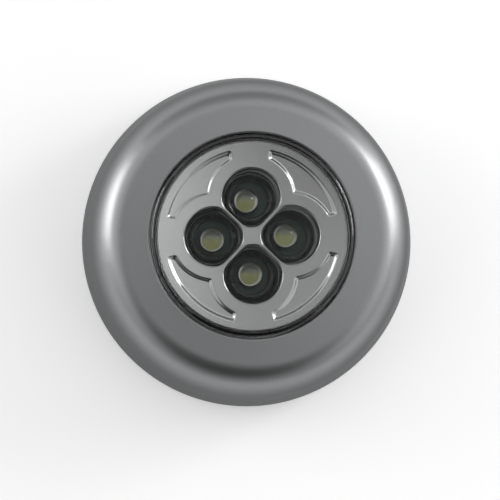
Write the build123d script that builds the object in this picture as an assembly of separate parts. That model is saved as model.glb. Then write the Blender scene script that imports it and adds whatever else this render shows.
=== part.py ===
"""Stick-on push light: a round silver housing with a clear lens that is pressed to switch it.

Frame: the origin is the centre of the adhesive face on the back. +Z points out of the light,
+Y is the top and +X the right of the front view. All lengths are in millimetres.
The lens, reflector, board and diodes travel together into the housing, against return
springs. The back plate turns in a bayonet and lets the housing open for the batteries.
"""

import os
from math import atan2, cos, degrees, radians, sin, sqrt

from build123d import *

# Clearances and overruns shared by several pieces
cut_overrun = 0.5
seat_gap = 0.2
slide_gap = 0.3
bore_gap = 0.05

# Adhesive pad
pad_radius = 22.0
pad_thickness = 1.0

# Back plate and its bayonet
plate_thickness = 1.4
plate_rim_wall = 1.0
plate_edge_gap = 0.5
lug_count = 3
lug_thickness = 1.0
lug_span = 20.0
tab_thickness = 0.9
tab_depth = 1.5
tab_span = 24.0
stop_span = 3.0
lug_first_angle = 90.0
recess_radius = 5.0
recess_depth = 0.8
recess_place_share = 0.86
recess_count = 2
grip_rib_width = 0.7
grip_rib_count = 3
grip_rib_pitch = 2.0

# Front bezel
bezel_wall = 1.8
rear_step = 0.3
widest_height = 3.3
rear_curl = 1.0
shoulder_drop = 11.9
shoulder_inset = 1.7
top_fall = 0.2
top_land = 5.4
opening_roll = 0.4
collar_wall = 1.4
shoulder_reach_share = 0.62
shoulder_turn_share = 0.51
draft_reach_share = 0.48
draft_end_share = 0.24
rear_curl_share = 0.6

# Battery cells
cell_diameter = 10.5
cell_can_length = 43.7
cell_nub_length = 0.8
cell_nub_diameter = 3.8
cell_crimp = 0.5
cell_side_gap = 0.3
cell_count = 3

# Battery contacts
contact_thickness = 0.4
contact_width = 8.6
contact_height = 8.0
contact_dimple_height = 0.4
contact_dimple_radius = 2.2
contact_tab_width = 2.4
contact_tab_length = 2.6
contact_spring_wire = 0.6
contact_spring_radius = 3.3
contact_spring_turns = 3.0
contact_spring_length = 3.1
contact_spring_cone = 24.0

# Battery tray
tray_thickness = 1.5
tray_edge_gap = 0.4
tray_lug_gap = 0.4
bay_side_gap = 0.25
bay_wall = 1.0
bay_skin_gap = 3.47
bay_roof = 0.8
bay_rib_width = 0.8
bay_rib_depth = 2.0

# Screws that hold the tray to the bezel
boss_radius = 2.5
tray_screw_radius = 1.1
tray_screw_length = 9.0
tray_screw_head_radius = 2.0
tray_screw_head_height = 1.0
tray_screw_recess = 0.7
screw_recess_width = 0.5
screw_recess_share = 0.7

# Press travel and return springs
press_travel = 1.2
spring_room = 2.35
spring_radius = 2.0
spring_wire = 0.4
spring_turns = 7.0
spring_post_radius = 1.4
spring_post_height = 5.0

# Light board
board_edge_room = 4.0
board_thickness = 0.9
board_notch_gap = 0.7
board_head_room = 0.1
board_screw_radius = 0.9
board_screw_length = 5.5
board_screw_head_radius = 1.7
board_screw_head_height = 0.7

# Resistors on the board
resistor_length = 3.2
resistor_width = 1.6
resistor_height = 0.6
resistor_chamfer = 0.1
resistor_angles = (70.0, 110.0, 250.0, 290.0)

# Latching switch under the board
switch_room = 1.05
switch_side = 8.5
switch_corner = 0.6
plunger_radius = 1.6
plunger_show = 2.9
plunger_guide = 3.0
plunger_rounding = 0.4
pillar_radius = 2.6
pillar_height = 0.9

# Light-emitting diodes
led_count = 4
led_radius = 2.5
led_height = 7.6
led_flange_radius = 2.9
led_flange_height = 1.0
led_lead_pitch = 2.54
led_lead_side = 0.5
led_post_side = 0.4
led_lead_trim = 0.65
led_lead_hole_radius = 0.5
led_cup_radius = 1.0
led_cup_height = 0.7
led_cup_top = 3.6
led_phosphor_radius = 0.85
led_phosphor_depth = 0.4
led_wander = 0.9
led_wander_shares = ((-0.85, 0.2), (-1.0, -0.4), (-0.2, -0.45), (-0.4, 0.2))
led_names = ("right", "top", "left", "bottom")

# Reflector
pattern_turn = 1.35
reflector_radius = 20.2
reflector_plate = 1.2
reflector_skirt = 1.2
reflector_edge = 1.0
led_depth = 2.5
cup_rim_room = 6.04
cup_overlap = 0.4
cup_taper = 0.75
cup_wall = 0.9
cup_floor = 0.8
cup_floor_lift = 1.3
cup_hole_room = 0.1
cup_ridge = 0.5
cup_rim_round = 0.2
post_radius = 2.2
post_room = 3.37
crescent_rim = 2.15
crescent_gap = 3.0
crescent_tip_angle = 14.0
crescent_depth = 0.6
crescent_wall = 0.8
crescent_floor_round = 0.1
crescent_tip_share = 0.4
snap_count = 4
snap_width = 4.0
snap_height = 1.2
snap_reach = 0.8
snap_lift = 1.0

# Push lens
lens_wall = 0.8
lens_thickness = 1.5
lens_air = 1.3
lens_proud = 1.1
lens_edge_round = 0.7
lens_inner_round = 0.5
lens_flange_reach = 1.3
lens_flange_height = 1.2

# Lead wires
wire_radius = 0.6
wire_board_place = 7.0

# Levels worked out from the sizes above, from the wall outwards
plate_outer_z = pad_thickness
plate_inner_z = plate_outer_z + plate_thickness
rear_edge_z = plate_outer_z + rear_step
tab_top_z = rear_edge_z + tab_thickness
lug_low_z = tab_top_z + slide_gap
lug_top_z = lug_low_z + lug_thickness
tray_low_z = lug_top_z + tray_lug_gap
tray_top_z = tray_low_z + tray_thickness
cell_axis_z = plate_inner_z + slide_gap + cell_diameter / 2
roof_low_z = cell_axis_z + cell_diameter / 2 + seat_gap
roof_top_z = roof_low_z + bay_roof
board_low_z = roof_top_z + press_travel + board_screw_head_height + board_head_room
board_top_z = board_low_z + board_thickness
led_top_z = board_top_z + led_height
face_z = led_top_z + led_depth
lens_under_z = face_z + lens_air
lens_top_z = lens_under_z + lens_thickness
bezel_top_z = lens_top_z - lens_proud
cup_floor_low_z = board_top_z + cup_floor_lift
cup_floor_top_z = cup_floor_low_z + cup_floor
flange_top_z = (board_top_z + bezel_top_z) / 2 - lens_flange_height
flange_low_z = flange_top_z - lens_flange_height
collar_low_z = flange_top_z + seat_gap
widest_z = rear_edge_z + widest_height
switch_height = board_low_z - tray_top_z - pillar_height - plunger_show

# Battery bay: the cells side by side, with their contacts and springs at the ends
cell_pitch = cell_diameter + cell_side_gap
cell_length = cell_can_length + cell_nub_length
bay_half_length = (
    cell_length + contact_spring_length + contact_dimple_height + 2 * contact_thickness
) / 2
bay_half_width = (cell_count - 1) * cell_pitch / 2 + cell_diameter / 2 + bay_side_gap
bay_outer_x = bay_half_width + bay_wall
bay_outer_y = bay_half_length + bay_wall

# Front, from the reflector outwards
lens_bore_radius = reflector_radius + seat_gap
lens_radius = lens_bore_radius + lens_wall
opening_radius = lens_radius + slide_gap
lens_flange_radius = opening_radius + lens_flange_reach

# Housing, which goes round the corners of the battery bay
body_radius = sqrt(bay_outer_x**2 + bay_outer_y**2) + bay_skin_gap + bezel_wall
inner_radius = body_radius - bezel_wall
tab_radius = inner_radius - tab_depth
plate_radius = tab_radius - plate_edge_gap
lug_radius = inner_radius - slide_gap
tray_radius = inner_radius - tray_edge_gap
board_radius = inner_radius - board_edge_room

# Pattern of the reflector's face
cup_place = (reflector_radius - cup_rim_room - cup_overlap) / (1 + 1 / sqrt(2))
cup_radius = cup_place / sqrt(2) + cup_overlap
cup_hole_radius = led_flange_radius + led_wander + cup_hole_room
post_reach = reflector_radius - reflector_skirt - post_radius - post_room
crescent_radius = reflector_radius - crescent_rim
crescent_cup_radius = cup_radius + crescent_gap

# Places beside the battery bay
switch_x = bay_outer_x + switch_room + switch_side / 2
boss_reach = (lens_flange_radius + inner_radius) / 2
boss_y = switch_side / 2 + seat_gap + boss_radius
boss_x = sqrt(boss_reach**2 - boss_y**2)
spring_x = bay_outer_x + spring_room + spring_radius
spring_y = boss_y + boss_radius + board_notch_gap + spring_room
resistor_reach = (lens_radius + board_radius) / 2
boss_places = [(sx * boss_x, sy * boss_y) for sx in (-1, 1) for sy in (-1, 1)]
spring_places = [(sx * spring_x, sy * spring_y) for sx in (-1, 1) for sy in (-1, 1)]
upward = (Align.CENTER, Align.CENTER, Align.MIN)


def column(x, y, radius, low, high):
    """Upright cylinder between two levels."""
    return Pos(x, y, low) * Cylinder(radius, high - low, align=upward)


def disc(radius, low, high):
    """Cylinder about the light's axis."""
    return column(0, 0, radius, low, high)


def ring(outer, inner, low, high):
    """Tube about the light's axis."""
    return disc(outer, low, high) - disc(inner, low - cut_overrun, high + cut_overrun)


def block(x_low, x_high, y_low, y_high, z_low, z_high):
    """Box between two corners."""
    size = (x_high - x_low, y_high - y_low, z_high - z_low)
    corner = (Align.MIN, Align.MIN, Align.MIN)
    return Pos(x_low, y_low, z_low) * Box(*size, align=corner)


def sector(outer, inner, low, high, middle, span):
    """Piece of a tube that spans an angle about a middle direction."""
    reach = 2 * outer
    half = radians(span / 2)
    wedge = Polygon(
        (0, 0), (reach * cos(half), -reach * sin(half)), (reach * cos(half), reach * sin(half)), align=None
    )
    prism = extrude(Pos(0, 0, low) * wedge, high - low)
    return ring(outer, inner, low, high) & (Rot(0, 0, middle) * prism)


def around(radius, angle):
    """Point at an angle about the light's axis."""
    return radius * cos(radians(angle)), radius * sin(radians(angle))


def pattern_angle(index, count):
    """Direction of one of several repeats, with the front pattern's slight turn."""
    return pattern_turn + index * 360 / count


def led_place(index):
    """Where a diode stands: its cup's centre, and how far it stands off that centre."""
    x, y = around(cup_place, pattern_angle(index, led_count))
    share_x, share_y = led_wander_shares[index]
    return x + share_x * led_wander, y + share_y * led_wander


def post_places():
    """Centres of the reflector's four screw posts, on the diagonals between the cups."""
    return [around(post_reach, pattern_angle(index + 1 / 2, led_count)) for index in range(led_count)]


def dome(inset):
    """Solid inside the bezel's outer skin, drawn in by an inset."""
    top = bezel_top_z - inset
    edge = body_radius - inset
    land = opening_radius + top_land
    side_radius = edge - shoulder_inset
    side_z = top - shoulder_drop
    span_r = side_radius - land
    start = (land, top - top_fall)
    side = (side_radius, side_z)
    widest = (edge, widest_z)
    side_height = side_z - widest_z
    lean = shoulder_inset / side_height
    turn = shoulder_turn_share * shoulder_drop
    fall = draft_reach_share * side_height
    shoulder = Bezier(
        start,
        (land + shoulder_reach_share * span_r, top - top_fall),
        (side_radius - lean * turn, side_z + turn),
        side,
    )
    flank = Bezier(
        side,
        (side_radius + lean * fall, side_z - fall),
        (edge, widest_z + draft_end_share * side_height),
        widest,
    )
    curl = Bezier(
        widest,
        (edge, widest_z - rear_curl_share * widest_height),
        (edge - (1 - rear_curl_share) * rear_curl, rear_edge_z),
        (edge - rear_curl, rear_edge_z),
    )
    close = Polyline(
        (edge - rear_curl, rear_edge_z), (0, rear_edge_z), (0, top), (opening_radius, top), start
    )
    outline = make_face(shoulder + flank + curl + close)
    return revolve(Plane.XZ * outline, Axis.Z)


def front_bezel():
    """Silver housing: skin, collar that guides the lens, screw bosses, bayonet tabs."""
    skin = dome(0)
    room = dome(bezel_wall) + disc(inner_radius, rear_edge_z - cut_overrun, widest_z)
    shell = skin - room
    shell += disc(opening_radius + collar_wall, collar_low_z, bezel_top_z - bezel_wall / 2)
    for x, y in boss_places:
        boss = column(x, y, boss_radius, tray_top_z, bezel_top_z) & dome(bezel_wall / 2)
        shell += boss
    shell -= disc(opening_radius, collar_low_z - cut_overrun, bezel_top_z + cut_overrun)
    mouth = shell.edges().filter_by(GeomType.CIRCLE).filter_by(
        lambda edge: abs(edge.radius - opening_radius) < bore_gap
        and edge.center().Z > bezel_top_z - bore_gap
    )
    shell = fillet(mouth, opening_roll)
    for x, y in boss_places:
        pilot = tray_screw_radius + bore_gap
        tip_z = tray_low_z + tray_screw_recess + tray_screw_length
        shell -= column(x, y, pilot, tray_top_z - cut_overrun, tip_z + cut_overrun)
    for index in range(lug_count):
        angle = lug_first_angle + index * 360 / lug_count
        grown = inner_radius + bezel_wall / 2
        shell += sector(grown, tab_radius, rear_edge_z, tab_top_z, angle, tab_span)
        stop_angle = angle + lug_span / 2 + stop_span
        shell += sector(grown, tab_radius, tab_top_z, lug_top_z, stop_angle, stop_span)
    return shell


def back_plate():
    """Round plate stuck to the wall, with three bayonet lugs and two finger recesses."""
    plate = disc(plate_radius, plate_outer_z, plate_inner_z)
    plate += ring(plate_radius, plate_radius - plate_rim_wall, plate_inner_z, lug_top_z)
    for index in range(lug_count):
        angle = lug_first_angle + index * 360 / lug_count
        root = plate_radius - plate_rim_wall / 2
        plate += sector(lug_radius, root, lug_low_z, lug_top_z, angle, lug_span)
    for index in range(recess_count):
        angle = index * 360 / recess_count
        middle = Rot(0, 0, angle) * Pos(recess_place_share * plate_radius, 0, 0)
        recess = column(0, 0, recess_radius, plate_outer_z - cut_overrun, plate_outer_z + recess_depth)
        recess &= disc(plate_radius - plate_rim_wall, plate_outer_z - cut_overrun, plate_inner_z).moved(
            Location((-recess_place_share * plate_radius, 0, 0))
        )
        for rib_index in range(grip_rib_count):
            x = (rib_index - (grip_rib_count - 1) / 2) * grip_rib_pitch
            rib = block(
                x - grip_rib_width / 2,
                x + grip_rib_width / 2,
                -recess_radius,
                recess_radius,
                plate_outer_z,
                plate_outer_z + recess_depth,
            )
            recess -= rib
        plate -= middle * recess
    return plate


def adhesive_pad():
    """Foam disc that sticks the plate to a wall or a cupboard."""
    return disc(pad_radius, 0, pad_thickness)


def battery_tray():
    """Inner moulding: round flange, battery bay, spring posts and the switch's pillar."""
    tray = disc(tray_radius, tray_low_z, tray_top_z)
    tray += block(-bay_outer_x, bay_outer_x, -bay_outer_y, bay_outer_y, tray_low_z, roof_top_z)
    inner_low = tray_low_z - cut_overrun
    tray -= block(
        -bay_half_width, bay_half_width, -bay_half_length, bay_half_length, inner_low, roof_low_z
    )
    for index in range(cell_count - 1):
        x = (index - (cell_count - 2) / 2) * cell_pitch
        half = bay_rib_width / 2
        span_y = bay_half_length - contact_spring_length - 2 * contact_thickness
        tray += block(x - half, x + half, -span_y, span_y, roof_low_z - bay_rib_depth, roof_low_z)
    for x, y in post_places():
        hole = board_screw_head_radius + slide_gap
        tray -= column(x, y, hole, roof_low_z - cut_overrun, roof_top_z + cut_overrun)
    for x, y in spring_places:
        tray += column(x, y, spring_post_radius, tray_top_z, tray_top_z + spring_post_height)
    tray += column(switch_x, 0, pillar_radius, tray_top_z, tray_top_z + pillar_height)
    for x, y in boss_places:
        hole = tray_screw_radius + slide_gap
        tray -= column(x, y, hole, tray_low_z - cut_overrun, tray_top_z + cut_overrun)
        seat = tray_screw_head_radius + slide_gap
        tray -= column(x, y, seat, tray_low_z - cut_overrun, tray_low_z + tray_screw_recess)
    for sign in (-1, 1):
        x = -sign * cell_pitch
        half = contact_tab_width / 2 + seat_gap
        wall_low = bay_half_length - cut_overrun
        wall_high = bay_outer_y + cut_overrun
        slot_low = cell_axis_z - seat_gap
        slot_high = cell_axis_z + contact_thickness + seat_gap
        slot = block(x - half, x + half, wall_low, wall_high, slot_low, slot_high)
        tray -= slot if sign > 0 else mirror(slot, Plane.XZ)
    return tray


def screw(radius, length, head_radius, head_height):
    """Pan-head screw that points up, its head's underside at level zero."""
    body = Pos(0, 0, -head_height) * Cylinder(head_radius, head_height, align=upward)
    body = fillet(body.edges().group_by(Axis.Z)[0], head_height * screw_recess_share / 2)
    body += Cylinder(radius, length, align=upward)
    slot_length = 2 * head_radius * screw_recess_share
    depth = head_height * screw_recess_share
    slot = Pos(0, 0, -head_height - depth / 2) * Box(slot_length, screw_recess_width, 2 * depth)
    return body - slot - Rot(0, 0, 90) * slot


def tray_screws():
    """Four screws that hold the tray to the bezel's bosses."""
    one = screw(tray_screw_radius, tray_screw_length, tray_screw_head_radius, tray_screw_head_height)
    return [Pos(x, y, tray_low_z + tray_screw_recess) * one for x, y in boss_places]


def board_screws():
    """Four screws that clamp the board to the reflector's posts."""
    one = screw(board_screw_radius, board_screw_length, board_screw_head_radius, board_screw_head_height)
    return [Pos(x, y, board_low_z) * one for x, y in post_places()]


def cell_direction(index):
    """Cells lie side by side with their positive ends alternating, first and last towards +Y."""
    return 1 if index % 2 == 0 else -1


def cell(index):
    """Dry cell: a can with crimped ends and a positive nub."""
    x = (index - (cell_count - 1) / 2) * cell_pitch
    can = Cylinder(cell_diameter / 2, cell_can_length, align=upward)
    can = fillet(can.edges().filter_by(GeomType.CIRCLE), cell_crimp)
    nub = Pos(0, 0, cell_can_length) * Cylinder(cell_nub_diameter / 2, cell_nub_length, align=upward)
    nub_top = bay_half_length - contact_thickness - contact_dimple_height
    upright = Pos(0, 0, nub_top - cell_length) * (can + nub)
    lying = Rot(-90, 0, 0) * upright
    if cell_direction(index) < 0:
        lying = Rot(0, 0, 180) * lying
    return Pos(x, 0, cell_axis_z) * lying


def contact_plate(x_low, x_high, sign):
    """Sheet-metal plate that lies on an end wall of the battery bay."""
    low = cell_axis_z - contact_height / 2
    high = cell_axis_z + contact_height / 2
    inner = bay_half_length - contact_thickness
    plate = block(x_low, x_high, inner, bay_half_length, low, high)
    return plate if sign > 0 else mirror(plate, Plane.XZ)


def contact_dimple(x, sign):
    """Raised round spot that touches a cell's nub."""
    inner = bay_half_length - contact_thickness
    dimple = Pos(x, inner, cell_axis_z) * Rot(90, 0, 0) * Cone(
        contact_dimple_radius, contact_dimple_radius / 2, contact_dimple_height, align=upward
    )
    return dimple if sign > 0 else mirror(dimple, Plane.XZ)


def contact_tab(x, sign):
    """Solder tab that passes out through the bay's end wall."""
    half = contact_tab_width / 2
    tab = block(
        x - half,
        x + half,
        bay_half_length - contact_thickness,
        bay_half_length + contact_tab_length,
        cell_axis_z,
        cell_axis_z + contact_thickness,
    )
    return tab if sign > 0 else mirror(tab, Plane.XZ)


def contacts():
    """Two end terminals and two bridges that join the cells in series."""
    half = contact_width / 2
    left, middle, right = -cell_pitch, 0, cell_pitch
    plus = contact_plate(left - half, left + half, 1) + contact_dimple(left, 1) + contact_tab(left, 1)
    minus = contact_plate(right - half, right + half, -1) + contact_tab(right, -1)
    lower = contact_plate(left - half, middle + half, -1) + contact_dimple(middle, -1)
    upper = contact_plate(middle - half, right + half, 1) + contact_dimple(right, 1)
    return {
        "contact_plus": plus,
        "contact_minus": minus,
        "contact_bridge_lower": lower,
        "contact_bridge_upper": upper,
    }


def coil(radius, wire, turns, length, cone=0):
    """Spring that stands on level zero: one unbroken wire, its ends inside the length."""
    rise = length - wire
    path = Helix(pitch=rise / turns, height=rise, radius=radius, cone_angle=cone)
    section = Plane(origin=path @ 0, z_dir=path % 0) * Circle(wire / 2)
    return Pos(0, 0, wire / 2) * sweep(section, path=path, is_frenet=True)


def contact_springs():
    """Conical springs that press on the cells' negative ends."""
    one = coil(
        contact_spring_radius,
        contact_spring_wire,
        contact_spring_turns,
        contact_spring_length - seat_gap / 2,
        -contact_spring_cone,
    )
    springs = []
    for index in range(cell_count):
        sign = -cell_direction(index)
        x = (index - (cell_count - 1) / 2) * cell_pitch
        base = bay_half_length - contact_thickness
        placed = Pos(0, base, 0) * Rot(90, 0, 0) * one
        if sign < 0:
            placed = Rot(0, 0, 180) * placed
        springs.append(Pos(x, 0, cell_axis_z) * placed)
    return springs


def return_spring(place):
    """One of the four springs that lift the lens, between the tray and the board."""
    x, y = place
    height = board_low_z - tray_top_z
    return Pos(x, y, tray_top_z) * coil(spring_radius, spring_wire, spring_turns, height)


def light_board():
    """Round circuit board with notches round the bezel's bosses and holes for the leads."""
    board = disc(board_radius, board_low_z, board_top_z)
    low = board_low_z - cut_overrun
    high = board_top_z + cut_overrun
    for x, y in boss_places:
        notch = boss_radius + board_notch_gap
        board -= column(x, y, notch, low, high)
        outward = boss_x + notch if x > 0 else -boss_x - notch
        edge_low, edge_high = sorted((x, outward + (notch if x > 0 else -notch)))
        board -= block(edge_low, edge_high, y - notch, y + notch, low, high)
    for x, y in post_places():
        board -= column(x, y, board_screw_radius + seat_gap, low, high)
    for index in range(led_count):
        x, y = led_place(index)
        for side in (-1, 1):
            board -= column(x + side * led_lead_pitch / 2, y, led_lead_hole_radius, low, high)
    return board


def resistors():
    """Four chip resistors on the front of the board, outside the lens."""
    chips = []
    for angle in resistor_angles:
        body = Box(resistor_length, resistor_width, resistor_height, align=upward)
        body = chamfer(body.edges().group_by(Axis.Z)[-1], resistor_chamfer)
        x, y = around(resistor_reach, angle)
        chips.append(Pos(x, y, board_top_z) * Rot(0, 0, angle + 90) * body)
    return chips


def switch_body():
    """Latching push switch that hangs under the board."""
    half = switch_side / 2
    low = board_low_z - switch_height
    body = block(switch_x - half, switch_x + half, -half, half, low, board_low_z)
    body = fillet(body.edges().filter_by(Axis.Z), switch_corner)
    depth = plunger_guide + press_travel + seat_gap
    return body - column(switch_x, 0, plunger_radius + bore_gap, low - cut_overrun, low + depth)


def switch_plunger():
    """Stem of the switch, which rests on the tray's pillar."""
    low = tray_top_z + pillar_height
    stem = column(switch_x, 0, plunger_radius, low, low + plunger_show + plunger_guide)
    return fillet(stem.edges().group_by(Axis.Z)[0], plunger_rounding)


def led_frame_solid():
    """Lead frame of one diode: two leads, the cup that holds the die, and the other post."""
    half = led_lead_side / 2
    low = -board_thickness - led_lead_trim
    pitch = led_lead_pitch / 2
    cup_low = led_cup_top - led_cup_height
    post_half = led_post_side / 2
    frame = block(-pitch - half, -pitch + half, -half, half, low, cup_low)
    frame += block(-pitch - half, led_cup_radius / 2, -half, half, cup_low - led_lead_side, cup_low)
    frame += column(0, 0, led_cup_radius, cup_low, led_cup_top)
    frame -= phosphor_solid()
    post = block(pitch - half, pitch + half, -half, half, low, led_flange_height)
    post += block(
        pitch - post_half, pitch + post_half, -post_half, post_half, led_flange_height, led_cup_top
    )
    return [frame, post]


def phosphor_solid():
    """Phosphor that fills the die cup."""
    low = led_cup_top - led_phosphor_depth
    return Pos(0, 0, low) * Cone(
        led_phosphor_radius - led_phosphor_depth / 2, led_phosphor_radius, led_phosphor_depth, align=upward
    )


def led_body_solid():
    """Clear epoxy body of one diode, with its flange, round nose and cavities for the metal."""
    shoulder = led_height - led_radius
    outline = Polyline(
        (0, led_height),
        (0, 0),
        (led_flange_radius, 0),
        (led_flange_radius, led_flange_height),
        (led_radius, led_flange_height),
        (led_radius, shoulder),
    )
    nose_mid = (led_radius * cos(radians(45)), shoulder + led_radius * sin(radians(45)))
    nose = ThreePointArc((led_radius, shoulder), nose_mid, (0, led_height))
    body = revolve(Plane.XZ * make_face(outline + nose), Axis.Z)
    flat = led_radius + (led_flange_radius - led_radius) / 4
    body -= block(
        -led_flange_radius - cut_overrun, -flat, -led_flange_radius, led_flange_radius, 0, led_flange_height
    )
    for metal in led_frame_solid():
        body -= metal
    return body - phosphor_solid()


def crescent(index):
    """Outline of one of the four sunk crescents, halfway down its wall."""
    reach = 2 * crescent_radius
    half = radians(45 - crescent_tip_angle)
    wedge = Polygon(
        (0, 0), (reach * cos(half), -reach * sin(half)), (reach * cos(half), reach * sin(half)), align=None
    )
    shape = Circle(crescent_radius) & (Rot(0, 0, 45) * wedge)
    shape -= Pos(cup_place, 0) * Circle(crescent_cup_radius)
    shape -= Pos(0, cup_place) * Circle(crescent_cup_radius)
    tip_width = min(edge.length for edge in shape.edges())
    corner_round = min(crescent_floor_round + crescent_wall / 2, crescent_tip_share * tip_width)
    shape = fillet(shape.vertices(), corner_round)
    return Rot(0, 0, pattern_angle(index, led_count)) * shape


def crescent_pocket(index):
    """Space of one sunk crescent, with a sloping wall all round its flat floor."""
    mouth = offset(crescent(index), crescent_wall / 2)
    slope = degrees(atan2(crescent_wall, crescent_depth))
    return Pos(0, 0, face_z) * extrude(mouth, -crescent_depth, taper=slope)


def cup_bores():
    """Open space of the four cups, which straight ridges part from each other."""
    apex = cup_ridge / sqrt(2)
    reach = 2 * cup_place
    height = face_z - cup_floor_top_z
    bores = []
    for index in range(led_count):
        wedge = Polygon((apex, 0), (apex + reach, -reach), (apex + reach, reach), align=None)
        space = extrude(Pos(0, 0, cup_floor_top_z) * wedge, height)
        hollow = Pos(cup_place, 0, cup_floor_top_z) * Cone(
            cup_radius - cup_taper, cup_radius, height, align=upward
        )
        bores.append(Rot(0, 0, pattern_angle(index, led_count)) * (hollow & space))
    return bores


def reflector():
    """Chromed moulding: face plate, skirt, four cups, screw posts and snap tabs."""
    skirt_inner = reflector_radius - reflector_skirt
    body = disc(reflector_radius, board_top_z, face_z)
    body -= disc(skirt_inner, board_top_z - cut_overrun, face_z - reflector_plate)
    body = fillet(body.edges().group_by(Axis.Z)[-1], reflector_edge)
    height = face_z - cup_floor_low_z
    for index in range(led_count):
        x, y = around(cup_place, pattern_angle(index, led_count))
        outer = Cone(cup_radius - cup_taper + cup_wall, cup_radius + cup_wall, height, align=upward)
        within = disc(skirt_inner, cup_floor_low_z, face_z)
        body += (Pos(x, y, cup_floor_low_z) * outer) & within
    for x, y in post_places():
        body += column(x, y, post_radius, board_top_z, face_z - reflector_plate / 2)
    for bore in cup_bores():
        body -= bore
    middle = Vector(0, 0, face_z)
    rims = body.edges().filter_by(
        lambda edge: abs(edge.bounding_box().size.Z) < bore_gap
        and ((edge @ (1 / 2)) - middle).length < crescent_radius
        and abs((edge @ (1 / 2)).Z - face_z) < bore_gap
    )
    body = fillet(rims, cup_rim_round)
    for index in range(led_count):
        x, y = around(cup_place, pattern_angle(index, led_count))
        body -= column(x, y, cup_hole_radius, cup_floor_low_z - cut_overrun, cup_floor_top_z + cut_overrun)
    for index in range(led_count):
        body -= crescent_pocket(index)
    for x, y in post_places():
        pilot = board_screw_radius + bore_gap
        tip_z = board_low_z + board_screw_length
        body -= column(x, y, pilot, board_top_z - cut_overrun, tip_z + cut_overrun)
    for index in range(snap_count):
        tab = block(
            reflector_radius - reflector_skirt / 2,
            reflector_radius + snap_reach,
            -snap_width / 2,
            snap_width / 2,
            board_top_z + snap_lift,
            board_top_z + snap_lift + snap_height,
        )
        body += Rot(0, 0, pattern_angle(index + 1 / 2, snap_count)) * tab
    return body


def push_lens():
    """Clear cap that is pressed: top, rounded edge, skirt, stop flange and snap windows."""
    outer = disc(lens_radius, board_top_z, lens_top_z)
    outer = fillet(outer.edges().group_by(Axis.Z)[-1], lens_edge_round)
    inner = disc(lens_bore_radius, board_top_z - cut_overrun, lens_under_z)
    inner = fillet(inner.edges().group_by(Axis.Z)[-1], lens_inner_round)
    body = outer + disc(lens_flange_radius, flange_low_z, flange_top_z) - inner
    for index in range(snap_count):
        window = block(
            lens_bore_radius - cut_overrun,
            lens_radius + cut_overrun,
            -snap_width / 2 - seat_gap,
            snap_width / 2 + seat_gap,
            board_top_z + snap_lift - seat_gap,
            board_top_z + snap_lift + snap_height + seat_gap,
        )
        body -= Rot(0, 0, pattern_angle(index + 1 / 2, snap_count)) * window
    return body


def lead_wire(sign):
    """Wire from a battery terminal, up past the bay's end to the board."""
    start_x = -sign * cell_pitch
    end_x = -sign * wire_board_place
    y = bay_outer_y + wire_radius + slide_gap
    low = cell_axis_z + contact_thickness
    rise = board_low_z - low
    path = Bezier(
        (start_x, y, low),
        (start_x, y, low + rise / 2),
        (end_x, y, board_low_z - rise / 2),
        (end_x, y, board_low_z),
    )
    section = Plane(origin=path @ 0, z_dir=path % 0) * Circle(wire_radius)
    wire = sweep(section, path=path)
    return wire if sign > 0 else mirror(wire, Plane.XZ)


def all_parts():
    """Every sub-part by name, each a solid or a list of identical solids."""
    parts = {
        "front_bezel": front_bezel(),
        "push_lens": push_lens(),
        "reflector": reflector(),
        "light_board": light_board(),
        "board_resistors": resistors(),
        "switch_body": switch_body(),
        "switch_plunger": switch_plunger(),
        "battery_tray": battery_tray(),
        "contact_springs": contact_springs(),
        "wire_red": lead_wire(1),
        "wire_black": lead_wire(-1),
        "tray_screws": tray_screws(),
        "board_screws": board_screws(),
        "back_plate": back_plate(),
        "adhesive_pad": adhesive_pad(),
    }
    parts.update(contacts())
    for index in range(cell_count):
        parts[f"cell_{index + 1}"] = cell(index)
    for index, place in enumerate(spring_places):
        parts[f"return_spring_{index + 1}"] = return_spring(place)
    for index, name in enumerate(led_names):
        x, y = led_place(index)
        place = Pos(x, y, board_top_z)
        parts[f"led_body_{name}"] = place * led_body_solid()
        parts[f"led_frame_{name}"] = [place * metal for metal in led_frame_solid()]
        parts[f"led_phosphor_{name}"] = place * phosphor_solid()
    return parts


os.makedirs("parts", exist_ok=True)
for node, shape in all_parts().items():
    if isinstance(shape, list):
        shape = Compound(children=[solid for piece in shape for solid in piece.solids()])
    export_step(shape, f"parts/{node}.step")
    print(node, round(shape.volume, 2))
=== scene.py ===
"""Studio picture of the stick-on push light: finishes, fine shapes, lamps and camera.

Lengths are in metres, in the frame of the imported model: the origin is the centre of the
adhesive face, +Z points out of the light, +Y is the top of the front view.
"""

from math import cos, pi, radians, sin, sqrt

import bmesh
import bpy
from mathutils import Matrix, Vector
from mathutils.geometry import delaunay_2d_cdt


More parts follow.
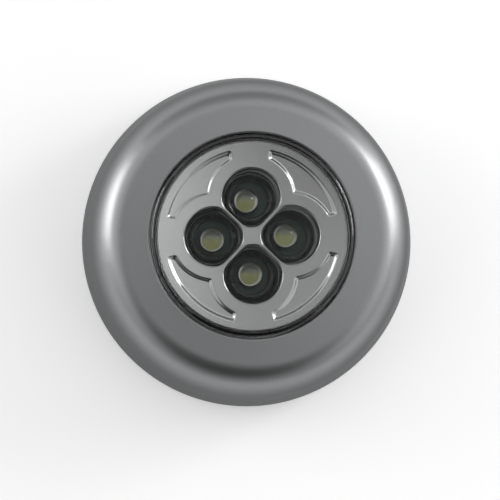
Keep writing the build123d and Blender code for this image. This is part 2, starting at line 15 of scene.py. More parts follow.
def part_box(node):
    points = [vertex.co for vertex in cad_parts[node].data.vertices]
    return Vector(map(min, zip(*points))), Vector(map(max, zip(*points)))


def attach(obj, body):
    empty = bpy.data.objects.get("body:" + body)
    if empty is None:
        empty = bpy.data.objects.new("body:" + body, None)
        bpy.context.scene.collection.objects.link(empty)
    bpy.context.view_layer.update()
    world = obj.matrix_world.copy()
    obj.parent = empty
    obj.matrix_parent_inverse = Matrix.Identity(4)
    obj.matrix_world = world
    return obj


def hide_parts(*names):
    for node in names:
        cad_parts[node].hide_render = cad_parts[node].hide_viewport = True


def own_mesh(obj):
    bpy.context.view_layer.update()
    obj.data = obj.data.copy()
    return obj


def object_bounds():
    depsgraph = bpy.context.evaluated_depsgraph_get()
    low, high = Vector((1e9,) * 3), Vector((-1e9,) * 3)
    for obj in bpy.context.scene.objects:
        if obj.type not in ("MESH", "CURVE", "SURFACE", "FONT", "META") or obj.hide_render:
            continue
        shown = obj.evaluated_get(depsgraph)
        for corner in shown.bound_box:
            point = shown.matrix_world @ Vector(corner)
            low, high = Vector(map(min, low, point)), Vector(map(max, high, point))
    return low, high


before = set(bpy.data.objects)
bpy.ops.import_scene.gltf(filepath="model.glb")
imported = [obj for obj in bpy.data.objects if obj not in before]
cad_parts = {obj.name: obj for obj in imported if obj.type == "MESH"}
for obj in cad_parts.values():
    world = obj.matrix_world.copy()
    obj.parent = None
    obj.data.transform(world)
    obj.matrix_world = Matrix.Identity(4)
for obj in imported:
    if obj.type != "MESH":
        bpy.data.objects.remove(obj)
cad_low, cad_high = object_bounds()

mm = 0.001

# Camera, at the photograph's viewing angle, and its frame of 500 pixels
picture_side = 500
camera_place = Vector((-25.76, -27.17, 495.0)) * mm
camera_aim = Vector((0.19, -2.33, 15.0)) * mm
focal_pixels = 2242.4
sensor_width = 36.0
clip_near = 0.01
clip_far = 20.0

# Reflector, in the sizes of its moulding: four cups, with a straight ridge between neighbours
pattern_turn = radians(1.35)
pattern_count = 4
ridge_direction = radians(135.0)
face_dish = 0.8 * mm
edge_round = 0.5 * mm
skirt_wall = 1.2 * mm
cup_place = 8.06 * mm
cup_radius = 6.1 * mm
cup_taper = 0.75 * mm
cup_draft = 0.2 * mm
cup_roll = 0.33 * mm
cup_corner = 0.7 * mm
cup_floor_height = 2.1 * mm
cup_floor_thickness = 0.8 * mm
cup_hole_radius = 3.9 * mm
cup_hole_round = 0.25 * mm
ridge_width = 0.72 * mm

# Crescents sunk into the reflector's face, with a sloping wall all round
crescent_radius = 18.05 * mm
crescent_cup_radius = 9.1 * mm
crescent_tip_angle = radians(14.0)
crescent_corner = 0.5 * mm
crescent_wall = 0.9 * mm
crescent_depth = 0.42 * mm
crescent_shoulder_share = 0.38

# Fineness of the meshes
sharp_angle = radians(40.0)
cup_segments = 144
rim_segments = 360
roll_steps = 6
wall_steps = 10
wall_spacing = 0.12 * mm
plain_spacing = 0.7 * mm
row_rise = cos(radians(30.0))
slope_steps = 60

# Tolerances of the reflector's mesh, and the kind of triangles that fill its face
mouth_overlap = cup_roll / 100
weld_distance = cup_roll / 1000
plan_tolerance = 1e-9
triangles_inside = 1

# Diodes
led_radius = 2.5 * mm
led_flange_radius = 2.9 * mm
led_flange_height = 1.0 * mm
led_round = 0.15 * mm
led_segments = 96
nose_steps = 24
led_names = ("right", "top", "left", "bottom")

# Lens, with how strongly its face and its rounded edge shine
lens_radius = 21.2 * mm
lens_edge_round = 0.7 * mm
lens_edge_blend = 0.15 * mm
lens_face_shine = 0.3
lens_edge_shine = 2.0

# Adhesive pad: a foam core between two films
pad_film = 0.12 * mm
pad_edge = 0.1 * mm
pad_segments = 160

# Return springs and lead wires, under the board
spring_count = 4
coil_wire = 0.4 * mm
coil_turns = 7
coil_turn_steps = 36
lead_radius = 0.6 * mm
lead_steps = 32
tube_segments = 14

# Metallic paint of the housing: flakes, and a lacquer with a faint peel
silver_colour = (0.328, 0.333, 0.338)
silver_rim_tint = (0.28, 0.28, 0.28, 1.0)
silver_roughness = 0.37
silver_peel = 0.12 * mm
silver_peel_height = 0.0012 * mm
silver_flake = 0.2 * mm
silver_flake_tints = (0.96, 1.04)

# Plating of the reflector: a wavy mirror, and satin cup walls with dark and light rings of painted
# reflection
chrome_colour = (0.5, 0.5, 0.495)
chrome_roughness = 0.03
chrome_wave = 3 * mm
chrome_wave_height = 0.006 * mm
# Dark and light colours of the painted reflection rings on the cup walls
cup_wall_reflection_dark = (0.1, 0.11, 0.11)
cup_wall_reflection_bright = (0.95, 0.97, 0.97)
cup_wall_roughness = 0.2
cup_wall_metallic = 0.25
cup_wall_wave = 1.5 * mm
cup_wall_wave_height = 0.02 * mm
cup_reflection_ring_size = 2.6 * mm
cup_reflection_ring_turn = (0.5, 0.6)
cup_reflection_ring_squeeze = (0.12, 0.12, 1.0)

# Clear pieces, and the phosphor, with painted shade greying it towards the top of each diode's cup
lens_colour = (0.97, 0.98, 0.98)
lens_index = 1.49
epoxy_colour = (0.97, 0.98, 0.96)
epoxy_index = 1.5
epoxy_roughness = 0.02
phosphor_low = (0.60, 0.61, 0.26)
# Grey of the painted shade at the top of the phosphor
phosphor_painted_shade = (0.24, 0.26, 0.22)
phosphor_turn = (0.45, 0.85)
phosphor_roughness = 0.6
phosphor_grain = 0.1 * mm
phosphor_relief = 0.004 * mm

# Plastics by colour, roughness, grain and relief, and how far their colour wanders
plastics = {
    "board_green": ((0.02, 0.08, 0.05), 0.35, 0.4 * mm, 0.01 * mm),
    "resistor_black": ((0.03, 0.03, 0.035), 0.4, 0.25 * mm, 0.012 * mm),
    "switch_black": ((0.04, 0.04, 0.045), 0.45, 0.25 * mm, 0.012 * mm),
    "plunger_white": ((0.78, 0.78, 0.75), 0.4, 0.25 * mm, 0.012 * mm),
    "tray_black": ((0.035, 0.035, 0.038), 0.5, 0.25 * mm, 0.012 * mm),
    "plate_black": ((0.04, 0.04, 0.043), 0.5, 0.35 * mm, 0.02 * mm),
    "pad_foam": ((0.75, 0.74, 0.70), 0.85, 0.15 * mm, 0.03 * mm),
    "wire_red": ((0.55, 0.03, 0.02), 0.45, 0.5 * mm, 0.004 * mm),
    "wire_black": ((0.02, 0.02, 0.02), 0.45, 0.5 * mm, 0.004 * mm),
    "cell_jacket": ((0.08, 0.16, 0.30), 0.25, 0.6 * mm, 0.003 * mm),
    "cup_floor": ((0.012, 0.015, 0.014), 0.15, 0.25 * mm, 0.012 * mm),
}
plastic_patch = 4 * mm
plastic_tints = (0.92, 1.08)

# Metals by colour and roughness, with their shared grain and wear
metals = {
    "led_lead": ((0.40, 0.41, 0.37), 0.35),
    "nickel_contact": ((0.66, 0.63, 0.58), 0.25),
    "spring_steel": ((0.6, 0.6, 0.6), 0.25),
    "screw_steel": ((0.55, 0.55, 0.56), 0.3),
    "reflector_edge": ((0.92, 0.92, 0.92), 0.35),
}
metal_grain = 0.3 * mm
metal_relief = 0.004 * mm
metal_patch = 2 * mm
metal_wear = (0.8, 1.3)
noise_turn = (0.35, 0.65)

# Materials of the reflector's mesh, in the order of its material slots
reflector_parts = ("chrome_plated", "cup_wall", "cup_floor", "reflector_edge")
plate_index, wall_index, floor_index, edge_index = range(len(reflector_parts))

# Lamps by name, azimuth and tilt from the light's axis, width, height and radiance: a soft box low
# at each side, and a small lamp at the right
lamp_distance = 0.6
lamps = (
    ("soft_box", (20.0, 72.0), 0.32, 0.38, 3.3),
    ("soft_box", (163.0, 79.0), 0.32, 0.3, 3.7),
    ("small_lamp", (27.0, 59.0), 0.12, 0.12, 6.5),
)

# Room that the chrome mirrors: patches by azimuth, tilt, full and outer angle, and level
room_level = 0.68
room_patches = (
    (0.0, 0.0, 45.0, 75.0, 0.95),
    (95.0, 90.0, 10.0, 70.0, 0.36),
    (22.0, 56.0, 12.0, 25.0, 1.1),
    (163.0, 64.0, 12.0, 30.0, 1.1),
    (127.0, 10.0, 7.0, 18.0, 0.5),
    (266.0, 78.0, 15.0, 52.0, 0.4),
    (262.0, 37.0, 23.0, 42.0, 0.03),
)

# Floor, which its lift makes paler to the camera and in mirrors
floor_side = 3.0
floor_colour = (0.9, 0.9, 0.9)
floor_roughness = 0.2
floor_lift = 0.3
floor_gap = 0.02 * mm

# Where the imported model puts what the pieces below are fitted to
reflector_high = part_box("reflector")[1]
reflector_radius = reflector_high.x
face_top = reflector_high.z
board_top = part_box("light_board")[1].z
cup_floor = board_top + cup_floor_height


def bevel(value):
    """Zero below 0, one above 1, with a straight rise between two rounded shoulders."""
    t = min(1.0, max(0.0, value))
    near = min(t, 1 - t)
    shoulder = min(near, crescent_shoulder_share)
    risen = shoulder * shoulder / (2 * crescent_shoulder_share) + near - shoulder
    low = risen / (1 - crescent_shoulder_share)
    return low if t < 0.5 else 1 - low


def smooth_max(values, corner):
    """Largest of some values, with the corner between the two largest rounded."""
    low, high = sorted(values)[-2:]
    blend = max(corner - (high - low), 0.0) / corner
    return high + blend * blend * corner / 4


def polar(radius, angle):
    """Point of a plan, from its radius and angle."""
    return Vector((radius * cos(angle), radius * sin(angle)))


def circle(radius, level, segments, centre=(0.0, 0.0)):
    """Level loop of points about a centre."""
    points = []
    for step in range(segments):
        place = Vector(centre[:2]) + polar(radius, 2 * pi * step / segments)
        points.append(Vector((place.x, place.y, level)))
    return points


# Meshes


def new_piece(name, mesh, body, slot, *materials):
    """Adds a mesh to the scene as a piece that rides on a body of the light."""
    piece = bpy.data.objects.new(name, mesh)
    bpy.context.scene.collection.objects.link(piece)
    for material in materials:
        mesh.materials.append(material)
    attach(piece, body)
    return piece


def loops_to_mesh(name, loops, close_ends=False):
    """Skin over a stack of loops with equal counts of points."""
    count = len(loops[0])
    points = [point for loop in loops for point in loop]
    faces = []
    for level in range(len(loops) - 1):
        for step in range(count):
            after = (step + 1) % count
            low = level * count
            high = low + count
            faces.append((low + step, low + after, high + after, high + step))
    if close_ends:
        faces.append(tuple(reversed(range(count))))
        faces.append(tuple(range(len(points) - count, len(points))))
    mesh = bpy.data.meshes.new(name)
    mesh.from_pydata(points, [], faces)
    mesh.shade_smooth()
    mesh.set_sharp_from_angle(angle=sharp_angle)
    return mesh


def turned_mesh(name, profile, segments, centre=(0.0, 0.0)):
    """Closed solid turned from a profile of radii and levels that starts and ends near the axis."""
    loops = [circle(radius, level, segments, centre) for radius, level in profile]
    return loops_to_mesh(name, loops, close_ends=True)


# Reflector


def crescent_distance(x, y):
    """Signed distance from the nearest crescent's outline, below zero inside it."""
    point = Matrix.Rotation(-pattern_turn, 2) @ Vector((x, y))
    u, v = sorted((abs(point.x), abs(point.y)))
    near = Vector((v - cup_place, u)).length
    far = Vector((u - cup_place, v)).length
    tip = v * sin(crescent_tip_angle) - u * cos(crescent_tip_angle)
    sides = (point.length - crescent_radius, crescent_cup_radius - near, crescent_cup_radius - far, tip)
    return smooth_max(sides, crescent_corner)


def face_height(x, y):
    """Level of the reflector's face: a shallow dish with the crescents sunk into it."""
    dish = face_dish * (1 - (x * x + y * y) / reflector_radius**2)
    return face_top - dish - crescent_depth * bevel(0.5 - crescent_distance(x, y) / crescent_wall)


def face_normal(x, y):
    """Upward normal of the face, from the slope of its height."""
    step = crescent_wall / slope_steps
    slope_x = face_height(x + step, y) - face_height(x - step, y)
    slope_y = face_height(x, y + step) - face_height(x, y - step)
    return Vector((-slope_x, -slope_y, 2 * step)).normalized()


def cup_reach(angle, grow, drawn_in=0.0, draft=0.0):
    """How far a cup's outline lies from its centre: a circle cut by the two ridges."""
    round_side = cup_radius - drawn_in + grow
    ridge = cup_place / sqrt(2) - ridge_width / 2 - draft + grow
    lean = cos(abs(angle) - ridge_direction)
    if lean <= 0:
        return round_side
    return -smooth_max((-round_side, -ridge / lean), cup_corner)


def cup_frame(index):
    """Turn and centre of one of the four cups."""
    angle = pattern_turn + index * 2 * pi / pattern_count
    return Matrix.Rotation(angle, 2), polar(cup_place, angle)


def cup_loop(index, level, *shape):
    """Loop of one cup's outline, at a level that may follow the face."""
    turn, centre = cup_frame(index)
    points = []
    for step in range(cup_segments):
        angle = -pi + 2 * pi * step / cup_segments
        place = centre + turn @ polar(cup_reach(angle, *shape), angle)
        points.append(Vector((place.x, place.y, level(place.x, place.y))))
    return points


def cup_hole_loop(index, radius, level):
    """Loop of the hole in one cup's floor."""
    turn, centre = cup_frame(index)
    points = []
    for step in range(cup_segments):
        place = centre + turn @ polar(radius, -pi + 2 * pi * step / cup_segments)
        points.append(Vector((place.x, place.y, level)))
    return points


def cup_rim_loops(index):
    """Loops of one cup's rolled rim."""
    loops = []
    for step in range(roll_steps + 1):
        turned = pi / 2 * step / roll_steps
        sunk = cup_roll * (1 - cos(turned))
        grow = cup_roll * (1 - sin(turned))
        loops.append(cup_loop(index, lambda x, y: face_height(x, y) - sunk, grow))
    return loops


def cup_wall_loops(index, rim):
    """Loops of one cup's wall, from under its rim to the floor."""
    loops = [rim]
    for step in range(1, wall_steps + 1):
        share = step / wall_steps
        ring = cup_loop(index, lambda x, y: cup_floor, 0.0, cup_taper * share, cup_draft * share)
        for point, above in zip(ring, rim):
            point.z = above.z + (cup_floor - above.z) * share
        loops.append(ring)
    return loops


def cup_floor_loops(index, wall_foot):
    """Loops of one cup's floor, from the wall's foot into the diode's hole."""
    loops = [wall_foot]
    for step in range(roll_steps + 1):
        turned = pi / 2 * step / roll_steps
        radius = cup_hole_radius + cup_hole_round * (1 - sin(turned))
        loops.append(cup_hole_loop(index, radius, cup_floor - cup_hole_round * (1 - cos(turned))))
    loops.append(cup_hole_loop(index, cup_hole_radius, cup_floor - cup_floor_thickness))
    return loops


def face_fill():
    """Points that fill the face: close together on the crescents' walls, wide elsewhere."""
    points = []
    reach = crescent_wall / 2 + wall_spacing
    for spacing, on_wall in ((wall_spacing, True), (plain_spacing, False)):
        rows = int(reflector_radius / spacing / row_rise)
        columns = int(reflector_radius / spacing)
        for row in range(-rows, rows + 1):
            for column in range(-columns, columns + 1):
                x = (column + row % 2 / 2) * spacing
                y = row * spacing * row_rise
                if Vector((x, y)).length > reflector_radius - edge_round - spacing / 2:
                    continue
                near_wall = abs(crescent_distance(x, y)) < reach
                if near_wall != on_wall or near_a_cup(x, y, spacing / 2):
                    continue
                points.append(Vector((x, y)))
    return points


def near_a_cup(x, y, room):
    """Whether a point of the plan lies in a cup's mouth or within some room of its rim."""
    for index in range(pattern_count):
        turn, centre = cup_frame(index)
        place = turn.transposed() @ (Vector((x, y)) - centre)
        angle = -place.angle_signed(Vector((1, 0))) if place.length > 0 else 0.0
        if place.length < cup_reach(angle, cup_roll) + room:
            return True
    return False


def face_mesh_data(rim, mouths):
    """Triangles of the face between its rim and the mouths of the cups."""
    points = []
    edges = []
    for loop in (rim, *mouths):
        first = len(points)
        points += [point.to_2d() for point in loop]
        edges += [(first + step, first + (step + 1) % len(loop)) for step in range(len(loop))]
    points += face_fill()
    plan, _, faces, *_ = delaunay_2d_cdt(points, edges, [], triangles_inside, plan_tolerance)
    kept = []
    for face in faces:
        middle = sum((plan[corner] for corner in face), Vector((0.0, 0.0))) / len(face)
        if not near_a_cup(middle.x, middle.y, -mouth_overlap):
            kept.append(face)
    return [Vector((p.x, p.y, face_height(p.x, p.y))) for p in plan], kept


def reflector_mesh():
    """Chromed moulding with its dished face, crescents, cups and skirt."""
    built = bmesh.new()

    def add_loops(loops, material_index):
        made = [[built.verts.new(point) for point in loop] for loop in loops]
        for upper, lower in zip(made, made[1:]):
            count = len(upper)
            for step in range(count):
                after = (step + 1) % count
                face = built.faces.new((upper[step], lower[step], lower[after], upper[after]))
                face.material_index = material_index

    edge = reflector_radius - edge_round
    rim = [Vector((p.x, p.y, face_height(p.x, p.y))) for p in circle(edge, 0.0, rim_segments)]
    outside = [rim]
    for step in range(1, roll_steps + 1):
        turned = pi / 2 * step / roll_steps
        radius = edge + edge_round * sin(turned)
        level = rim[0].z - edge_round * (1 - cos(turned))
        outside.append(circle(radius, level, rim_segments))
    add_loops([list(reversed(loop)) for loop in outside], edge_index)
    skirt = [outside[-1]]
    skirt.append(circle(reflector_radius, board_top, rim_segments))
    skirt.append(circle(reflector_radius - skirt_wall, board_top, rim_segments))
    add_loops([list(reversed(loop)) for loop in skirt], edge_index)
    mouths = []
    for index in range(pattern_count):
        rolled = cup_rim_loops(index)
        walls = cup_wall_loops(index, rolled[-1])
        mouths.append(rolled[0])
        add_loops(rolled, plate_index)
        add_loops(walls, wall_index)
        add_loops(cup_floor_loops(index, walls[-1]), floor_index)
    points, faces = face_mesh_data(rim, mouths)
    made = [built.verts.new(point) for point in points]
    for face in faces:
        built.faces.new([made[corner] for corner in face])
    bmesh.ops.remove_doubles(built, verts=built.verts, dist=weld_distance)
    mesh = bpy.data.meshes.new("reflector_moulding")
    built.to_mesh(mesh)
    built.free()
    mesh.shade_smooth()
    normals = []
    for vertex in mesh.vertices:
        x, y, z = vertex.co
        on_face = abs(z - face_height(x, y)) < weld_distance
        normals.append(face_normal(x, y) if on_face else vertex.normal.copy())
    mesh.normals_split_custom_set_from_vertices(normals)
    return mesh


# Diodes and pad


def led_mesh(name, centre):
    """Solid body of one diode: flange, barrel and round nose."""
    bottom, top = (corner.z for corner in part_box(f"led_body_{name}"))
    shoulder = top - led_radius
    flange_top = bottom + led_flange_height
    profile = [
        (led_round, bottom),
        (led_flange_radius - led_round, bottom),
        (led_flange_radius, bottom + led_round),
        (led_flange_radius, flange_top - led_round),
        (led_flange_radius - led_round, flange_top),
        (led_radius + led_round, flange_top),
        (led_radius, flange_top + led_round),
    ]
    for step in range(nose_steps):
        angle = pi / 2 * step / nose_steps
        profile.append((led_radius * cos(angle), shoulder + led_radius * sin(angle)))
    return turned_mesh(f"led_dome_{name}", profile, led_segments, centre)


def pad_mesh():
    """Foam pad whose edge swells a little between its two films."""
    low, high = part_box("adhesive_pad")
    radius = high.x
    middle = radius - pad_edge
    bulge = radius - pad_edge / 3
    profile = [
        (pad_edge, low.z),
        (middle, low.z),
        (middle, low.z + pad_film),
        (bulge, low.z + 2 * pad_film),
        (radius, (low.z + high.z) / 2),
        (bulge, high.z - 2 * pad_film),
        (middle, high.z - pad_film),
        (middle, high.z),
        (pad_edge, high.z),
    ]
    return turned_mesh("foam_pad", profile, pad_segments)


# Return springs and lead wires


def tube_mesh(name, path, sides, radius):
    """Round tube along a path, with a vector square to the path at each of its points."""
    loops = []
    for index, (place, side) in enumerate(zip(path, sides)):
        along = path[min(index + 1, len(path) - 1)] - path[max(index - 1, 0)]
        across = along.normalized().cross(side)
        loop = []
        for step in range(tube_segments):
            spoke = polar(radius, 2 * pi * step / tube_segments)
            loop.append(place + spoke.x * side + spoke.y * across)
        loops.append(loop)
    return loops_to_mesh(name, loops, close_ends=True)


def coil_mesh(name, low, high):
    """One return spring: a helix that fills its space between the tray and the board."""
    radius = (high.x - low.x - coil_wire) / 2
    rise = high.z - low.z - coil_wire
    count = coil_turns * coil_turn_steps
    path = []
    sides = []
    for step in range(count + 1):
        side = polar(1.0, 2 * pi * step / coil_turn_steps).to_3d()
        place = (low + high) / 2 + radius * side
        place.z = low.z + coil_wire / 2 + rise * step / count
        path.append(place)
        sides.append(side)
    return tube_mesh(name, path, sides, coil_wire / 2)


def lead_mesh(name, low, high):
    """One lead wire, from a battery contact in an easy bend up to the board."""
    outer, inner = sorted((low.x + lead_radius, high.x - lead_radius), key=abs, reverse=True)
    path = []
    # Steep at both ends, and eased across in between
    for step in range(lead_steps + 1):
        t = step / lead_steps
        x = outer + (inner - outer) * t * t * (3 - 2 * t)
        z = low.z + (high.z - low.z) * (3 * t * (1 - t) / 2 + t**3)
        path.append(Vector((x, (low.y + high.y) / 2, z)))
    sides = [Vector((0, 1, 0))] * len(path)
    return tube_mesh(name, path, sides, lead_radius)


def add_pressed_piece(name, node, slot, make_mesh):
    """Adds a spring or lead on the housing, in place of its node."""
    low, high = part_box(node)
    piece = new_piece(name, make_mesh(name, low, high), "housing", slot, finishes[slot])
    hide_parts(node)
    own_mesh(piece)


# Finishes


class Finish:
    """A node material about one principled shader."""

    def __init__(self, name, colour, roughness, metallic=0.0, **sockets):
        self.material = bpy.data.materials.new(name)
        self.material.use_nodes = True
        self.tree = self.material.node_tree
        self.shader = self.tree.nodes["Principled BSDF"]
        self.shader.inputs["Base Color"].default_value = (*colour, 1.0)
        self.shader.inputs["Roughness"].default_value = roughness
        self.shader.inputs["Metallic"].default_value = metallic
        for socket, value in sockets.items():
            self.shader.inputs[socket.replace("_", " ")].default_value = value

    def add(self, kind, **settings):
        """Adds a node, with values for its properties and input sockets."""
        node = self.tree.nodes.new(kind)
        for name, value in settings.items():
            if name in node.bl_rna.properties:
                setattr(node, name, value)
            else:
                node.inputs[name.replace("_", " ")].default_value = value
        return node

    def link(self, source, output, target, socket):
        """Links an output of one node to a socket of another."""
        self.tree.links.new(source.outputs[output], target.inputs[socket])

    def noise(self, size, detail=2.0, squeeze=(1.0, 1.0, 1.0)):
        """Noise whose features have a real size, and are drawn out where the squeeze is small."""
        place = self.add("ShaderNodeTexCoord")
        squeezed = self.add("ShaderNodeVectorMath", operation="MULTIPLY")
        squeezed.inputs[1].default_value = squeeze
        noise = self.add("ShaderNodeTexNoise", Scale=1 / size, Detail=detail)
        self.link(place, "Object", squeezed, 0)
        self.link(squeezed, "Vector", noise, "Vector")
        return noise

    def bump(self, size, height, detail=2.0):
        """Fine relief of a real size and height."""
        bump = self.add("ShaderNodeBump", Strength=1.0, Distance=height)
        self.link(self.noise(size, detail), "Fac", bump, "Height")
        self.link(bump, "Normal", self.shader, "Normal")

    def ramp(self, turn, *ends):
        """Ramp that turns from its low end to its high end, each a colour or a plain value."""
        ramp = self.add("ShaderNodeValToRGB")
        for element, position, value in zip(ramp.color_ramp.elements, turn, ends):
            element.position = position
            element.color = (*value, 1.0) if isinstance(value, tuple) else (value, value, value, 1.0)
        return ramp

    def mottle(self, socket, size, low, high, turn=noise_turn, **pattern):
        """Change of a socket's value or colour over the surface, where the noise passes its turn."""
        ramp = self.ramp(turn, low, high)
        self.link(self.noise(size, **pattern), "Fac", ramp, "Fac")
        self.link(ramp, "Color", self.shader, socket)


def tinted(colour, factors):
    """The colour times each of some factors."""
    return [tuple(channel * factor for channel in colour) for factor in factors]


def plastic(name, colour, roughness, grain, relief):
    """Moulded plastic with a fine spark-eroded texture."""
    finish = Finish(name, colour, roughness)
    finish.bump(grain, relief)
    finish.mottle("Base Color", plastic_patch, *tinted(colour, plastic_tints))
    return finish.material


def metal(name, colour, roughness):
    """Plated or bare metal with faint handling marks."""
    finish = Finish(name, colour, roughness, metallic=1.0)
    finish.bump(metal_grain, metal_relief)
    finish.mottle("Roughness", metal_patch, *(roughness * factor for factor in metal_wear))
    return finish.material


def silver_paint():
    """Metallic paint: satin flakes under a thin lacquer, with faint orange peel."""
    finish = Finish("silver_shell", silver_colour, silver_roughness, metallic=1.0)
    finish.shader.inputs["Specular Tint"].default_value = silver_rim_tint
    finish.bump(silver_peel, silver_peel_height, detail=1.0)
    finish.mottle("Base Color", silver_flake, *tinted(silver_colour, silver_flake_tints))
    return finish.material


def chrome():
    """Vacuum-plated plastic: a bright mirror with a slight moulded waviness."""
    finish = Finish("chrome_plated", chrome_colour, chrome_roughness, metallic=1.0)
    finish.bump(chrome_wave, chrome_wave_height, detail=1.0)
    return finish.material


def cup_wall_finish():
    """Thinly plated wall of a cup: satin, with dark and light rings of painted reflection round it."""
    finish = Finish("cup_wall", cup_wall_reflection_bright, cup_wall_roughness, metallic=cup_wall_metallic)
    finish.bump(cup_wall_wave, cup_wall_wave_height)
    # Painted reflection: bands of dark and light colour round the wall, standing in for mirrored
    # streaks
    reflection_rings = {"turn": cup_reflection_ring_turn, "squeeze": cup_reflection_ring_squeeze}
    finish.mottle("Base Color", cup_reflection_ring_size, cup_wall_reflection_dark, cup_wall_reflection_bright, **reflection_rings)
    return finish.material


def clear(name, colour, index, roughness):
    """Clear plastic or resin that bends light."""
    finish = Finish(name, colour, roughness, IOR=index)
    finish.shader.inputs["Transmission Weight"].default_value = 1.0
    return finish


def clear_lens():
    """Lens with a weak shine on its flat face and a strong one on its polished edge."""
    finish = clear("clear_lens", lens_colour, lens_index, 0.0)
    place = finish.add("ShaderNodeTexCoord")
    plan = finish.add("ShaderNodeVectorMath", operation="MULTIPLY")
    plan.inputs[1].default_value = (1.0, 1.0, 0.0)
    radius = finish.add("ShaderNodeVectorMath", operation="LENGTH")
    shine = finish.add("ShaderNodeMapRange", interpolation_type="SMOOTHSTEP")
    shine.inputs["From Min"].default_value = lens_radius - lens_edge_round - lens_edge_blend
    shine.inputs["From Max"].default_value = lens_radius - lens_edge_round + lens_edge_blend
    shine.inputs["To Min"].default_value = lens_face_shine
    shine.inputs["To Max"].default_value = lens_edge_shine
    finish.link(place, "Object", plan, 0)
    finish.link(plan, "Vector", radius, 0)
    finish.link(radius, "Value", shine, "Value")
    finish.link(shine, "Result", finish.shader, "Specular Tint")
    return finish.material


def phosphor():
    """Phosphor in a diode's cup: yellow-green, with painted shade greying it towards the top."""
    finish = Finish("led_phosphor", phosphor_low, phosphor_roughness)
    finish.bump(phosphor_grain, phosphor_relief)
    place = finish.add("ShaderNodeTexCoord")
    split = finish.add("ShaderNodeSeparateXYZ")
    # Painted shade: the colour turns from yellow-green to grey towards the top of the phosphor
    ramp = finish.ramp(phosphor_turn, phosphor_low, phosphor_painted_shade)
    finish.link(place, "Generated", split, "Vector")
    finish.link(split, "Y", ramp, "Fac")
    finish.link(ramp, "Color", finish.shader, "Base Color")
    return finish.material


def all_finishes():
    """Every material by name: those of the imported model's slots, and the reflector's own."""
    finishes = {
        "silver_shell": silver_paint(),
        "chrome_plated": chrome(),
        "cup_wall": cup_wall_finish(),
        "clear_lens": clear_lens(),
        "led_epoxy": clear("led_epoxy", epoxy_colour, epoxy_index, epoxy_roughness).material,
        "led_phosphor": phosphor(),
    }
    for name, look in plastics.items():
        finishes[name] = plastic(name, *look)
    for name, look in metals.items():
        finishes[name] = metal(name, *look)
    return finishes


def dress_nodes(finishes):
    """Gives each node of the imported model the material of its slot."""
    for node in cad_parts.values():
        for slot in node.material_slots:
            slot.material = finishes[slot.material.name.split(".")[0]]


# Studio


def look_down(place, aim):
    """Turn of a camera that looks from a place to an aim, with +Y up in its picture."""
    back = (place - aim).normalized()
    right = Vector((0, 1, 0)).cross(back).normalized()
    up = back.cross(right)
    return Matrix((right, up, back)).transposed().to_4x4()


def add_camera():
    """The scene's camera, in sharp focus all through."""
    camera = bpy.data.cameras.new("camera")
    camera.sensor_width = sensor_width
    camera.lens = focal_pixels / picture_side * sensor_width
    camera.clip_start = clip_near
    camera.clip_end = clip_far
    holder = bpy.data.objects.new("camera", camera)
    holder.matrix_world = Matrix.Translation(camera_place) @ look_down(camera_place, camera_aim)
    bpy.context.scene.collection.objects.link(holder)
    bpy.context.scene.camera = holder


def toward(azimuth, tilt):
    """Unit vector at an azimuth and a tilt from the light's axis, both in degrees."""
    plan = polar(sin(radians(tilt)), radians(azimuth))
    return Vector((plan.x, plan.y, cos(radians(tilt))))


def add_lamp(name, direction, width, height, radiance):
    """Rectangular lamp of an even radiance, turned to the light."""
    lamp = bpy.data.lights.new(name, "AREA")
    lamp.shape = "RECTANGLE"
    lamp.size = width
    lamp.size_y = height
    lamp.energy = radiance * pi * width * height
    back = toward(*direction)
    along = Vector((0, 0, 1)).cross(back).normalized()
    turn = Matrix((along, back.cross(along), back)).transposed().to_4x4()
    holder = bpy.data.objects.new(name, lamp)
    holder.matrix_world = Matrix.Translation(lamp_distance * back) @ turn
    holder.visible_camera = False
    bpy.context.scene.collection.objects.link(holder)


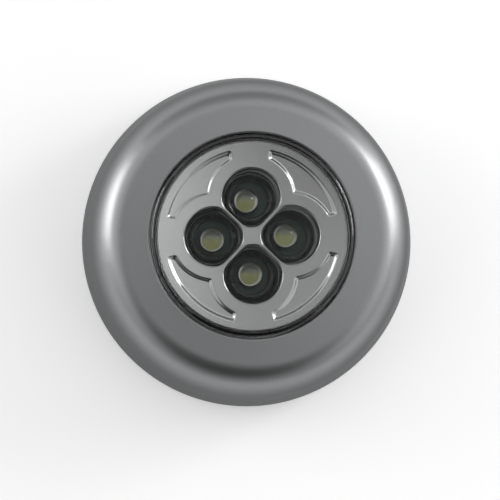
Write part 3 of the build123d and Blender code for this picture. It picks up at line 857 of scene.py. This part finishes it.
def add_room():
    """World: a plain grey room with darker and lighter sides."""
    world = bpy.data.worlds.new("room")
    world.use_nodes = True
    bpy.context.scene.world = world
    tree = world.node_tree
    background = tree.nodes["Background"]
    direction = tree.nodes.new("ShaderNodeTexCoord")
    colour = None
    for azimuth, tilt, full, none, level in room_patches:
        facing = tree.nodes.new("ShaderNodeVectorMath")
        facing.operation = "DOT_PRODUCT"
        facing.inputs[1].default_value = toward(azimuth, tilt)
        tree.links.new(direction.outputs["Generated"], facing.inputs[0])
        share = tree.nodes.new("ShaderNodeMapRange")
        share.interpolation_type = "SMOOTHSTEP"
        share.inputs["From Min"].default_value = cos(radians(none))
        share.inputs["From Max"].default_value = cos(radians(full))
        tree.links.new(facing.outputs["Value"], share.inputs["Value"])
        mix = tree.nodes.new("ShaderNodeMix")
        mix.data_type = "RGBA"
        tree.links.new(share.outputs["Result"], mix.inputs["Factor"])
        if colour is None:
            mix.inputs["A"].default_value = (room_level, room_level, room_level, 1.0)
        else:
            tree.links.new(colour.outputs["Result"], mix.inputs["A"])
        mix.inputs["B"].default_value = (level, level, level, 1.0)
        colour = mix
    tree.links.new(colour.outputs["Result"], background.inputs["Color"])


def add_floor():
    """Pale floor under the light."""
    half = floor_side / 2
    mesh = bpy.data.meshes.new("floor")
    corners = [(-half, -half, 0), (half, -half, 0), (half, half, 0), (-half, half, 0)]
    mesh.from_pydata(corners, [], [(0, 1, 2, 3)])
    floor = bpy.data.objects.new("floor", mesh)
    bpy.context.scene.collection.objects.link(floor)
    floor.location.z = cad_low.z - floor_gap
    finish = Finish("floor", floor_colour, floor_roughness, Emission_Color=(1.0, 1.0, 1.0, 1.0))
    rays = finish.add("ShaderNodeLightPath")
    seen = None
    # The kinds of ray that look at the floor, so that its lift lights nothing
    for ray in ("Is Camera Ray", "Is Glossy Ray", "Is Transmission Ray"):
        lift = finish.add("ShaderNodeMath", operation="MULTIPLY_ADD")
        lift.inputs[1].default_value = floor_lift
        lift.inputs[2].default_value = 0.0
        finish.link(rays, ray, lift, 0)
        if seen:
            finish.link(seen, "Value", lift, 2)
        seen = lift
    finish.link(seen, "Value", finish.shader, "Emission Strength")
    mesh.materials.append(finish.material)


add_camera()
finishes = all_finishes()
dress_nodes(finishes)

reflector_finishes = [finishes[part] for part in reflector_parts]
reflector = new_piece(
    "reflector_moulding", reflector_mesh(), "push_module", "chrome_plated", *reflector_finishes
)
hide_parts("reflector")
for name in led_names:
    low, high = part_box(f"led_phosphor_{name}")
    mesh = led_mesh(name, (low + high) / 2)
    dome = new_piece(f"led_dome_{name}", mesh, "push_module", "led_epoxy", finishes["led_epoxy"])
    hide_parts(f"led_body_{name}")
pad = new_piece("foam_pad", pad_mesh(), "back_plate", "pad_foam", finishes["pad_foam"])
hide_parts("adhesive_pad")
for index in range(1, spring_count + 1):
    add_pressed_piece(f"return_coil_{index}", f"return_spring_{index}", "spring_steel", coil_mesh)
for colour in ("red", "black"):
    add_pressed_piece(f"lead_{colour}", f"wire_{colour}", f"wire_{colour}", lead_mesh)

add_floor()
add_room()
for lamp in lamps:
    add_lamp(*lamp)

bpy.context.scene.view_settings.view_transform = "Standard"
